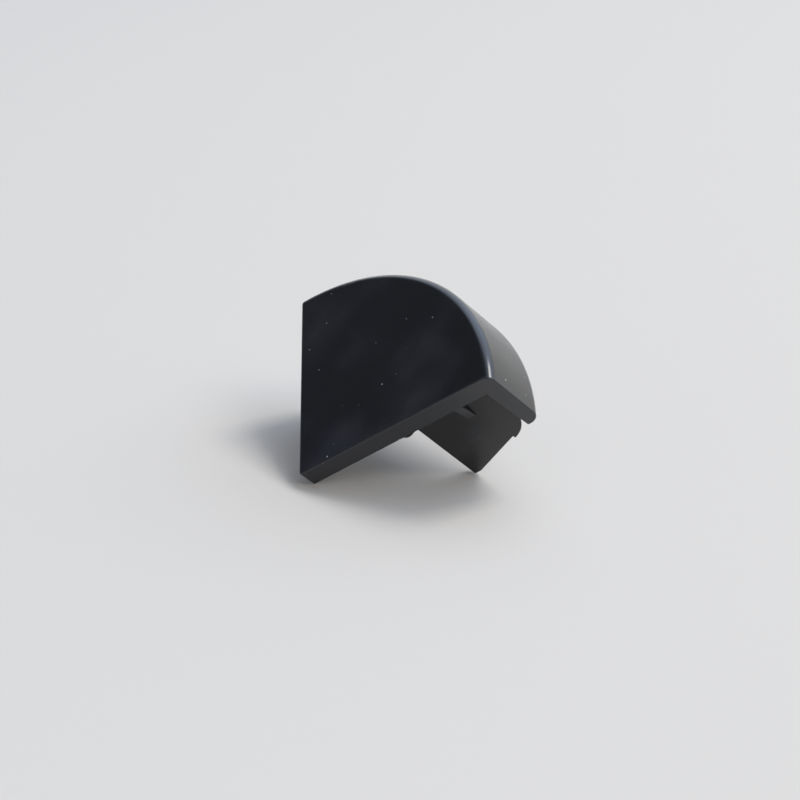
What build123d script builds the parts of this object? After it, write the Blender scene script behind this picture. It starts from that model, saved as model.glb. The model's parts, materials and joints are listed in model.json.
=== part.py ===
from build123d import *
from math import atan2, degrees, sqrt
import os

# End cap for a quarter-round profile: one moulded piece, sizes in millimetres.
# It is drawn with the heel (the square corner of the face plate) at the origin,
# the straight sides along +X and +Y, the show face on z = 0 and the plug below it.
# At the end it is laid down as it rests: on the heel and the tips of both legs.

# Face plate, a quarter disc
face_radius = 24.0
plate_thickness = 2.1
front_edge_radius = 1.0      # rounding between the show face and the curved side
heel_radius = 0.4            # rounding of the square corner, seen from the front
edge_break = 0.15            # broken edge round the outside of both straight sides

# Curved skirt, flush with the plate and drafted on its inner side
skirt_depth = 8.5            # show face to the skirt's free edge
skirt_root_wall = 1.85
skirt_lip_wall = 1.55
lip_radius = 1.3             # rounding on the outer side of the free edge

# Legs, one along each straight side
leg_inset = 0.5              # step from the straight side down to the leg's outer face
leg_wall = 1.5
leg_start = 13.25            # heel to the leg's inner edge
leg_depth = 11.85            # show face to the leg's tip
leg_tip_width = 0.8          # flat part of the tip, before the slanted end
shoulder_depth = 9.5         # show face to the upper end of the slant
leg_edge_break = 0.12        # broken edge round both flat sides of the leg

# Snap nose at the outer end of each leg, parted from the skirt by a notch
nose_gap = 0.25              # clearance between the nose and the skirt's inner side
nose_width = 2.4
nose_step = 0.35             # how far the nose stands past the slant
nose_bulge = 0.53            # rise of the nose's arc over its chord
notch_depth = 7.0            # show face to the bottom of the notch

# Wedge rib at the root of each leg, flush with the straight side at the plate
rib_offset = 4.95            # leg's inner edge to the rib
rib_width = 0.95
rib_length = 2.2             # plate's back to the end of the ramp
rib_end_height = 0.12        # what is left of the rib's height at the end of the ramp

# Round locating post behind the plate, on the diagonal
post_offset = 7.35           # each straight side to the post's axis
post_radius = 0.95
post_end_radius = 0.15
post_depth = 8.8             # show face to the post's end

plate_back = -plate_thickness
plate_middle = plate_back / 2
skirt_inner_radius = face_radius - skirt_lip_wall
skirt_middle_radius = face_radius - skirt_lip_wall / 2
diagonal_plane = Plane(origin=(0, 0, 0), z_dir=(1, -1, 0))


def plate_and_skirt():
    """Quarter turn of an angle section: the face plate with the skirt along its arc."""
    front_centre = face_radius - front_edge_radius
    lip_rounding = min(lip_radius, 0.9 * skirt_lip_wall)
    lip_centre = face_radius - lip_rounding
    with BuildPart() as shell:
        with BuildSketch(Plane.XZ):
            with BuildLine():
                Line((0, 0), (front_centre, 0))
                CenterArc((front_centre, -front_edge_radius), front_edge_radius, 90, -90)
                Line((face_radius, -front_edge_radius), (face_radius, lip_rounding - skirt_depth))
                CenterArc((lip_centre, lip_rounding - skirt_depth), lip_rounding, 0, -90)
                Polyline(
                    (lip_centre, -skirt_depth),
                    (skirt_inner_radius, -skirt_depth),
                    (face_radius - skirt_root_wall, plate_back),
                    (0, plate_back),
                    (0, 0),
                )
            make_face()
        revolve(axis=Axis.Z, revolution_arc=90)
        heel = edges().filter_by(Axis.Z).sort_by_distance((0, 0, plate_middle))[0]
        fillet(heel, heel_radius)
        outer_edges = [edge for edge in edges() if is_outer_side_edge(edge)]
        fillet(outer_edges, edge_break)
    return shell.part


def is_outer_side_edge(edge):
    """True for an edge of a straight side, from the show face round to the skirt's lip."""
    centre = edge.center()
    across = min(centre.X, centre.Y)
    along = max(centre.X, centre.Y)
    on_side = across < 0.001 and edge.bounding_box().size.length > edge_break
    at_front = centre.Z > -front_edge_radius
    at_skirt = along > face_radius - skirt_lip_wall / 2 and centre.Z > -skirt_depth + 0.001
    return on_side and (at_front or at_skirt)


def leg():
    """Flat leg along +X: slanted end, snap nose and notch, extruded through its wall."""
    nose_outer = skirt_inner_radius - nose_gap
    nose_start = nose_outer - nose_width
    with BuildPart() as plate:
        with BuildSketch(Plane.XZ.offset(-leg_inset)):
            with BuildLine():
                Polyline(
                    (nose_outer, -notch_depth),
                    (skirt_middle_radius, -notch_depth),
                    (skirt_middle_radius, plate_middle),
                    (leg_start, plate_middle),
                    (leg_start, -leg_depth),
                    (leg_start + leg_tip_width, -leg_depth),
                    (nose_start, -shoulder_depth),
                    (nose_start, -shoulder_depth - nose_step),
                )
                SagittaArc(
                    (nose_start, -shoulder_depth - nose_step),
                    (nose_outer, -notch_depth),
                    -nose_bulge,
                )
            make_face()
        extrude(amount=-leg_wall)
        flat_sides = plate.faces().filter_by(Axis.Y).sort_by(SortBy.AREA)[-2:]
        free_edges = [
            edge
            for edge in flat_sides.edges()
            if edge.center().X < nose_outer and edge.center().Z < plate_back
        ]
        fillet(free_edges, leg_edge_break)
    return plate.part


def rib():
    """Wedge on the leg's outer face, ramping down from the plate's straight side."""
    rib_start = leg_start + rib_offset
    with BuildPart() as wedge:
        with BuildSketch(Plane.YZ.offset(rib_start)):
            with BuildLine():
                Polyline(
                    (0, plate_middle),
                    (0, plate_back),
                    (leg_inset - rib_end_height, plate_back - rib_length),
                    (leg_inset + leg_wall / 2, plate_back - rib_length),
                    (leg_inset + leg_wall / 2, plate_middle),
                    close=True,
                )
            make_face()
        extrude(amount=rib_width)
    return wedge.part


def post():
    """Round locating post on the diagonal, rooted in the plate."""
    with BuildPart() as column:
        with BuildSketch(Plane.XY.offset(-post_depth)):
            with Locations((post_offset, post_offset)):
                Circle(post_radius)
        extrude(amount=post_depth + plate_middle)
        fillet(edges().sort_by(Axis.Z)[0], post_end_radius)
    return column.part


def lay_at_rest(cap):
    """Turn the diagonal to +Y and tip the cap onto its heel and both leg tips."""
    heel_contact = heel_radius * (sqrt(2) - 1)
    tip_contact = (leg_start + leg_inset) / sqrt(2)
    lean = degrees(atan2(leg_depth - plate_thickness, tip_contact - heel_contact))
    turned = cap.rotate(Axis.Z, 45).rotate(Axis.X, lean)
    box = turned.bounding_box()
    return turned.moved(Location((-box.center().X, -box.center().Y, -box.min.Z)))


def end_cap():
    side = leg() + rib()
    return plate_and_skirt() + side + mirror(side, about=diagonal_plane) + post()


os.makedirs("parts", exist_ok=True)
export_step(lay_at_rest(end_cap()), "parts/end_cap.step")
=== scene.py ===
import json
import math

import bmesh
import bpy
from bpy.props import FloatProperty, FloatVectorProperty, PointerProperty
from bpy.types import Operator, Panel, PropertyGroup
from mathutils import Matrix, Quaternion, Vector


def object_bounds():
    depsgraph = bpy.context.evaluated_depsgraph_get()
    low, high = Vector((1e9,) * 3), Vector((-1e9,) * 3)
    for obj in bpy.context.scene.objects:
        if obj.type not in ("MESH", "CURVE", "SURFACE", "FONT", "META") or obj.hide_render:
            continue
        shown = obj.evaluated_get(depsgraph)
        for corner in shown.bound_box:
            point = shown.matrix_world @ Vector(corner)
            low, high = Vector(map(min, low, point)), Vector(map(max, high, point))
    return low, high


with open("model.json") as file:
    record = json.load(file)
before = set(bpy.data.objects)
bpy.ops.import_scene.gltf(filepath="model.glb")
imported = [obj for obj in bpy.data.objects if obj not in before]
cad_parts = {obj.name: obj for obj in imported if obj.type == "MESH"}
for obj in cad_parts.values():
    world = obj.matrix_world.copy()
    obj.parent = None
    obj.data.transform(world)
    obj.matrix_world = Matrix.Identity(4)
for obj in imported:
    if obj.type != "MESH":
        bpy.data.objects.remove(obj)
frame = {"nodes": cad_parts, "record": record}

cad_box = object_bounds()

bl_info = {
    "name": "Quarter-round end cap",
    "version": (1, 0, 0),
    "blender": (4, 5, 0),
    "location": "3D View > Sidebar > End cap",
    "description": "Finishes a moulded quarter-round end cap and sets a pale studio round it",
    "category": "Object",
}

CAP_NODE = "end_cap"
MM = 0.001

# Behind the show face: down to the first depth the skin is polished, below the second it is satin
POLISHED_DEPTH = 0.95 * MM
SATIN_DEPTH = 1.15 * MM

# Painted reflection along the straight sides, a lighter greyer tint standing in for the bright
# floor they mirror: full up to the first inset, gone by the second, and its strength
PAINTED_SIDE_SHEEN_FULL = 0.12 * MM
PAINTED_SIDE_SHEEN_END = 0.30 * MM
PAINTED_SIDE_SHEEN = 0.85

# Cloudy patterns in the plastic: width, detail and roughness of the noise, then the levels of it
# at which the pattern starts and is full
HAZE_CLOUDS = (11.0 * MM, 2.5, 0.55, 0.42, 0.78)
BLOOM_CLOUDS = (14.0 * MM, 1.5, 0.50, 0.50, 0.70)
SMUDGE_CLOUDS = (4.0 * MM, 4.0, 0.62, 0.42, 0.72)

# What smudges, grain and dust add to the roughness, and the share of the grain's height that
# polishing takes away
SMUDGE_ROUGHNESS = 0.05
GRAIN_ROUGHNESS = 0.05
DUST_ROUGHNESS = 0.5
POLISHED_GRAIN_LOSS = 0.7

# Dust: a cell with a chance below the first value is clean, above it the speck grows with the
# chance; the edge is as wide as said, in cells
CLEAN_CELLS = 0.60
SPECK_GROWTH = 0.27
SPECK_EDGE = 0.03
FAINTEST_SPECK = 0.3
SPECK_HEIGHT = 0.01 * MM

# Where the world changes, as limits of the direction's X (right), Y (back) and Z (up)
WINDOW_FRONT = (-0.05, 0.35)
SKY_RISE = (0.10, 0.60)
GLOW_BOTTOM = (0.25, 0.60)
GLOW_TOP = (0.97, 0.85)
GLOW_LEFT = (-0.72, -0.40)

# Lamps and camera, in metres in the row frame
LAMP_COLOUR = (1.0, 0.96, 0.90)
WINDOW_LAMP_PLACE = (0.14, 0.68, 0.98)
WINDOW_LAMP_WIDTH = 0.40
SIDE_LAMP_PLACE = (0.94, 0.16, 0.74)
SIDE_LAMP_WIDTH = 0.50
CAMERA_AIM = Vector((1.313 * MM, 0.535 * MM, 6.778 * MM))
CAMERA_CLIP_START = 10.0 * MM
SENSOR_WIDTH_MM = 36.0


# ---------------------------------------------------------------- places read from the frame

def record_mount(name):
    """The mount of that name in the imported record."""
    return next(mount for mount in frame["record"]["mounts"] if mount["name"] == name)


PLATE_THICKNESS = 2.1 * MM    # from the show face to the profile_end_face mount
MOUNT_INSET = 4.0 * MM        # from each straight side to that mount
FACE_NORMAL = -Vector(record_mount("profile_end_face")["axis"]).normalized()
FACE_POINT = Vector(record_mount("profile_end_face")["pos_m"]) + FACE_NORMAL * PLATE_THICKNESS
DIAGONAL = FACE_NORMAL.cross(Vector((1.0, 0.0, 0.0)))
HEEL_TO_FACE_POINT = MOUNT_INSET * math.sqrt(2.0)
CAP_CENTRE = (cad_box[0] + cad_box[1]) / 2


# ---------------------------------------------------------------- shader arithmetic

class Value:
    """A shader socket that can be used in Python arithmetic."""

    def __init__(self, graph, socket):
        self.graph = graph
        self.socket = socket

    def math(self, operation, *others):
        operands = {index: value for index, value in enumerate((self, *others))}
        return self.graph.node("ShaderNodeMath", {"operation": operation}, operands)

    def __add__(self, other):
        return self.math("ADD", other)

    def __sub__(self, other):
        return self.math("SUBTRACT", other)

    def __rsub__(self, other):
        return (self * -1.0) + other

    def __mul__(self, other):
        return self.math("MULTIPLY", other)

    def __truediv__(self, other):
        return self.math("DIVIDE", other)

    def __pow__(self, exponent):
        return self.math("POWER", exponent)

    def clamped(self):
        return self.graph.node("ShaderNodeClamp", {}, {"Value": self})

    def step(self, low, high):
        """0 below low, 1 above high, smooth between; low may be the larger."""
        settings = {"interpolation_type": "SMOOTHSTEP"}
        sockets = {"Value": self, "From Min": low, "From Max": high}
        return self.graph.node("ShaderNodeMapRange", settings, sockets)


class Graph:
    """The node tree of a material or a world."""

    def __init__(self, owner):
        owner.use_nodes = True
        self.tree = owner.node_tree
        self.tree.nodes.clear()

    def node(self, kind, settings, sockets, output=0):
        """Adds a node: its settings first, then the values or links of its sockets."""
        made = self.tree.nodes.new(kind)
        for name, value in settings.items():
            setattr(made, name, value)
        for name, value in sockets.items():
            if isinstance(value, Value):
                self.tree.links.new(value.socket, made.inputs[name])
            else:
                made.inputs[name].default_value = value
        return Value(self, made.outputs[output]) if made.outputs else made

    def mix(self, factor, first, second):
        """first where factor is 0 and second where it is 1, as colours."""
        sockets = {0: factor, 6: first, 7: second}
        return self.node("ShaderNodeMix", {"data_type": "RGBA"}, sockets, 2)

    def vector(self, operation, first, second, output=0):
        sockets = {0: first, 1: second}
        return self.node("ShaderNodeVectorMath", {"operation": operation}, sockets, output)


def opaque(colour):
    return (*colour, 1.0)


# ---------------------------------------------------------------- settings

class EndCapFinish(PropertyGroup):
    plastic_colour: FloatVectorProperty(
        name="Plastic", description="Body colour of the moulding",
        subtype="COLOR", min=0.0, max=1.0, default=(0.0100, 0.0104, 0.0116))
    bloom_colour: FloatVectorProperty(
        name="Bloom", description="Bluer colour of the broad clouds in the moulding",
        subtype="COLOR", min=0.0, max=1.0, default=(0.0130, 0.0135, 0.0240))
    # Also the colour of the painted reflection that lightens the straight sides; the film is real
    # only in the patches
    haze_and_sheen_colour: FloatVectorProperty(
        name="Haze", description="Greyer colour of the faint film in patches and along the sides",
        subtype="COLOR", min=0.0, max=1.0, default=(0.0400, 0.0415, 0.0455))
    dust_colour: FloatVectorProperty(
        name="Dust", description="Colour of the dust specks",
        subtype="COLOR", min=0.0, max=1.0, default=(0.62, 0.63, 0.64))
    face_roughness: FloatProperty(
        name="Face roughness", description="Roughness of the polished face and its rounded edge",
        subtype="FACTOR", min=0.0, max=1.0, default=0.12)
    side_roughness: FloatProperty(
        name="Side roughness", description="Roughness of the skirt, legs and inside",
        subtype="FACTOR", min=0.0, max=1.0, default=0.20)
    peel_size: FloatProperty(
        name="Peel size", description="Width of the soft ripples in the moulded skin",
        subtype="DISTANCE", default=0.9 * MM)
    peel_height: FloatProperty(
        name="Peel height", description="Height of the soft ripples",
        subtype="DISTANCE", default=0.0012 * MM)
    grain_size: FloatProperty(
        name="Grain size", description="Width of the fine satin grain",
        subtype="DISTANCE", default=0.09 * MM)
    grain_height: FloatProperty(
        name="Grain height", description="Height of the fine satin grain",
        subtype="DISTANCE", default=0.0012 * MM)
    speck_spacing: FloatProperty(
        name="Speck spacing", description="Size of the cells that may each hold one dust speck",
        subtype="DISTANCE", default=1.15 * MM)


class EndCapStudio(PropertyGroup):
    floor_colour: FloatVectorProperty(
        name="Floor", description="Colour of the plain floor",
        subtype="COLOR", min=0.0, max=1.0, default=(0.742, 0.687, 0.606))
    backdrop_colour: FloatVectorProperty(
        name="Backdrop", description="Colour beyond the floor, as the camera sees it",
        subtype="COLOR", min=0.0, max=1.0, default=(0.716, 0.716, 0.716))
    floor_radius: FloatProperty(
        name="Floor radius", description="Radius of the round floor",
        subtype="DISTANCE", default=1.5)
    wall_light: FloatVectorProperty(
        name="Wall light", description="Light from the bright side, near the horizon",
        subtype="COLOR", min=0.0, soft_max=3.0, default=(1.05, 1.05, 1.03))
    sky_light: FloatVectorProperty(
        name="Sky light", description="Light from the bright side, high up",
        subtype="COLOR", min=0.0, soft_max=3.0, default=(1.05, 1.20, 1.46))
    glow_light: FloatVectorProperty(
        name="Glow", description="Light from the middle of the window",
        subtype="COLOR", min=0.0, soft_max=3.0, default=(1.60, 1.90, 2.45))
    room_light: FloatVectorProperty(
        name="Room light", description="Dim light from the front",
        subtype="COLOR", min=0.0, soft_max=1.0, default=(0.12, 0.13, 0.16))
    window_power: FloatProperty(
        name="Window lamp", description="Power of the soft lamp behind the cap",
        unit="POWER", default=4.4)
    side_power: FloatProperty(
        name="Side lamp", description="Power of the soft lamp to the right of the cap",
        unit="POWER", default=2.7)
    camera_azimuth: FloatProperty(
        name="Azimuth", description="Camera's angle round the cap",
        subtype="ANGLE", default=math.radians(57.09))
    camera_elevation: FloatProperty(
        name="Elevation", description="Camera's angle above the floor",
        subtype="ANGLE", default=math.radians(20.06))
    camera_roll: FloatProperty(
        name="Roll", description="Camera's turn about its own axis",
        subtype="ANGLE", default=math.radians(-3.60))
    camera_distance: FloatProperty(
        name="Distance", description="Camera to the point it is aimed at",
        subtype="DISTANCE", default=0.21772)
    camera_lens: FloatProperty(
        name="Lens", description="Focal length, in millimetres",
        unit="CAMERA", default=96.1)


# ---------------------------------------------------------------- the moulded plastic

def moulded_plastic(finish):
    """Black plastic: polished face, satin sides, haze, a painted reflection lightening the
    straight sides, bluish bloom, ripples, smudges, dust.
    """
    material = bpy.data.materials.new("Moulded black plastic")
    graph = Graph(material)
    place = graph.node("ShaderNodeTexCoord", {}, {}, "Object")

    from_face = graph.vector("SUBTRACT", place, FACE_POINT)
    height = graph.vector("DOT_PRODUCT", from_face, FACE_NORMAL, "Value")
    polished = height.step(-SATIN_DEPTH, -POLISHED_DEPTH)
    across = graph.vector("DOT_PRODUCT", from_face, DIAGONAL, "Value") + HEEL_TO_FACE_POINT
    sideways = graph.node("ShaderNodeSeparateXYZ", {}, {"Vector": place}, "X").math("ABSOLUTE")
    side_inset = (across - sideways) * math.sqrt(0.5)
    # Painted reflection: a band up to 0.3 mm in from each straight side gets a lighter tint,
    # standing in for the bright floor it mirrors
    painted_side_sheen = side_inset.step(PAINTED_SIDE_SHEEN_END, PAINTED_SIDE_SHEEN_FULL) * PAINTED_SIDE_SHEEN

    def noise(size, detail, roughness):
        sockets = {"Vector": place, "Scale": 1.0 / size, "Detail": detail, "Roughness": roughness}
        return graph.node("ShaderNodeTexNoise", {"noise_dimensions": "3D"}, sockets, "Fac")

    def clouds(size, detail, roughness, start, full):
        return noise(size, detail, roughness).step(start, full)

    # Random haze clouds, joined with the painted side reflection into one mask
    haze_and_painted_sheen = clouds(*HAZE_CLOUDS).math("MAXIMUM", painted_side_sheen)
    bloom = clouds(*BLOOM_CLOUDS)
    smudge = clouds(*SMUDGE_CLOUDS)
    peel = noise(finish.peel_size, 2.0, 0.5)
    grain = noise(finish.grain_size, 3.0, 0.6)

    cell = {"Vector": place, "Scale": 1.0 / finish.speck_spacing, "Randomness": 1.0}
    speck_distance = graph.node("ShaderNodeTexVoronoi", {}, cell, "Distance")
    speck_colour = graph.node("ShaderNodeTexVoronoi", {}, cell, "Color")
    chance, strength = (
        graph.node("ShaderNodeSeparateColor", {}, {"Color": speck_colour}, channel)
        for channel in ("Red", "Green")
    )
    speck_radius = (chance - CLEAN_CELLS) * SPECK_GROWTH
    speck_strength = strength ** 2.0 * (1.0 - FAINTEST_SPECK) + FAINTEST_SPECK
    speck = (speck_radius - speck_distance).step(0.0, SPECK_EDGE) * speck_strength

    tint = graph.mix(bloom, opaque(finish.plastic_colour), opaque(finish.bloom_colour))
    # Haze colour where that mask is: real haze in the clouds, painted reflection along the
    # straight sides
    tint = graph.mix(haze_and_painted_sheen, tint, opaque(finish.haze_and_sheen_colour))
    colour = graph.mix(speck, tint, opaque(finish.dust_colour))

    gloss = finish.face_roughness - finish.side_roughness
    roughness = polished * gloss + finish.side_roughness
    roughness = roughness + smudge * SMUDGE_ROUGHNESS + (grain - 0.5) * GRAIN_ROUGHNESS
    roughness = (roughness + speck * DUST_ROUGHNESS).clamped()

    satin_grain = grain * (1.0 - polished * POLISHED_GRAIN_LOSS)
    relief = peel * finish.peel_height + satin_grain * finish.grain_height
    relief = relief + speck * SPECK_HEIGHT
    bump = {"Height": relief / MM, "Distance": MM, "Strength": 1.0}
    normal = graph.node("ShaderNodeBump", {}, bump)

    surface = graph.node("ShaderNodeBsdfPrincipled", {}, {
        "Base Color": colour,
        "Roughness": roughness,
        "Normal": normal,
        "IOR": 1.5,
    })
    graph.node("ShaderNodeOutputMaterial", {}, {"Surface": surface})
    return material


class ENDCAP_OT_moulding(Operator):
    """Gives the moulded cap its black plastic"""
    bl_idname = "endcap.moulding"
    bl_label = "Finish the moulding"

    def execute(self, context):
        cap = frame["nodes"][CAP_NODE]
        cap.data.materials.clear()
        cap.data.materials.append(moulded_plastic(context.scene.endcap_finish))
        return {"FINISHED"}


# ---------------------------------------------------------------- floor, light and camera

def pale_floor(studio):
    """A plain round floor under the cap."""
    mesh = bpy.data.meshes.new("floor")
    bm = bmesh.new()
    bmesh.ops.create_circle(bm, cap_ends=True, segments=64, radius=studio.floor_radius)
    bm.to_mesh(mesh)
    bm.free()
    floor = bpy.data.objects.new("floor", mesh)
    bpy.context.scene.collection.objects.link(floor)
    material = bpy.data.materials.new("Plain pale floor")
    graph = Graph(material)
    surface = graph.node("ShaderNodeBsdfPrincipled", {}, {
        "Base Color": opaque(studio.floor_colour),
        "Roughness": 0.9,
        "Specular IOR Level": 0.2,
    })
    graph.node("ShaderNodeOutputMaterial", {}, {"Surface": surface})
    mesh.materials.append(material)


def area_lamp(name, place, width, power):
    """A large square lamp, slightly warm, that faces the cap."""
    data = bpy.data.lights.new(name, "AREA")
    data.size = width
    data.energy = power
    data.color = LAMP_COLOUR
    lamp = bpy.data.objects.new(name, data)
    lamp.location = place
    lamp.rotation_euler = (CAP_CENTRE - Vector(place)).to_track_quat("-Z", "Y").to_euler()
    bpy.context.scene.collection.objects.link(lamp)


def studio_world(studio):
    """Pale to the camera; to the cap a bright side, cooler overhead, and a dim side in front."""
    world = bpy.data.worlds.new("Studio")
    bpy.context.scene.world = world
    graph = Graph(world)
    direction = graph.node("ShaderNodeTexCoord", {}, {}, "Generated")
    rightward, backward, upward = (
        graph.node("ShaderNodeSeparateXYZ", {}, {"Vector": direction}, axis) for axis in "XYZ"
    )
    glow = upward.step(*GLOW_BOTTOM) * upward.step(*GLOW_TOP) * rightward.step(*GLOW_LEFT)
    high = upward.step(*SKY_RISE)
    window = graph.mix(high, opaque(studio.wall_light), opaque(studio.sky_light))
    window = graph.mix(glow, window, opaque(studio.glow_light))
    room = graph.mix(backward.step(*WINDOW_FRONT), opaque(studio.room_light), window)
    seen = graph.node("ShaderNodeLightPath", {}, {}, "Is Camera Ray")
    colour = graph.mix(seen, room, opaque(studio.backdrop_colour))
    background = graph.node("ShaderNodeBackground", {}, {"Color": colour, "Strength": 1.0})
    graph.node("ShaderNodeOutputWorld", {}, {"Surface": background})


def studio_camera(studio):
    """The camera, aimed close to the cap's middle."""
    data = bpy.data.cameras.new("camera")
    data.lens = studio.camera_lens
    data.sensor_width = SENSOR_WIDTH_MM
    data.clip_start = CAMERA_CLIP_START
    camera = bpy.data.objects.new("camera", data)
    bpy.context.scene.collection.objects.link(camera)
    azimuth = studio.camera_azimuth
    elevation = studio.camera_elevation
    back = Vector((
        math.sin(azimuth) * math.cos(elevation),
        -math.cos(azimuth) * math.cos(elevation),
        math.sin(elevation),
    ))
    camera.location = CAMERA_AIM + back * studio.camera_distance
    camera.rotation_mode = "QUATERNION"
    level = (-back).to_track_quat("-Z", "Y")
    camera.rotation_quaternion = level @ Quaternion((0.0, 0.0, 1.0), studio.camera_roll)
    bpy.context.scene.camera = camera


class ENDCAP_OT_studio(Operator):
    """Sets the pale floor, the soft lamps, the world and the camera"""
    bl_idname = "endcap.studio"
    bl_label = "Set the studio"

    def execute(self, context):
        studio = context.scene.endcap_studio
        pale_floor(studio)
        area_lamp("window lamp", WINDOW_LAMP_PLACE, WINDOW_LAMP_WIDTH, studio.window_power)
        area_lamp("side lamp", SIDE_LAMP_PLACE, SIDE_LAMP_WIDTH, studio.side_power)
        studio_world(studio)
        studio_camera(studio)
        context.scene.view_settings.view_transform = "Standard"
        return {"FINISHED"}


class ENDCAP_PT_panel(Panel):
    bl_idname = "ENDCAP_PT_panel"
    bl_label = "End cap"
    bl_space_type = "VIEW_3D"
    bl_region_type = "UI"
    bl_category = "End cap"

    def draw(self, context):
        layout = self.layout
        for group in (context.scene.endcap_finish, context.scene.endcap_studio):
            box = layout.box()
            for name in group.__annotations__:
                box.prop(group, name)
        layout.operator(ENDCAP_OT_moulding.bl_idname)
        layout.operator(ENDCAP_OT_studio.bl_idname)


CLASSES = (EndCapFinish, EndCapStudio, ENDCAP_OT_moulding, ENDCAP_OT_studio, ENDCAP_PT_panel)


def register():
    for cls in CLASSES:
        bpy.utils.register_class(cls)
    bpy.types.Scene.endcap_finish = PointerProperty(type=EndCapFinish)
    bpy.types.Scene.endcap_studio = PointerProperty(type=EndCapStudio)


def unregister():
    del bpy.types.Scene.endcap_studio
    del bpy.types.Scene.endcap_finish
    for cls in reversed(CLASSES):
        bpy.utils.unregister_class(cls)


def main():
    register()
    bpy.ops.endcap.moulding()
    bpy.ops.endcap.studio()


if __name__ == "__main__":
    main()
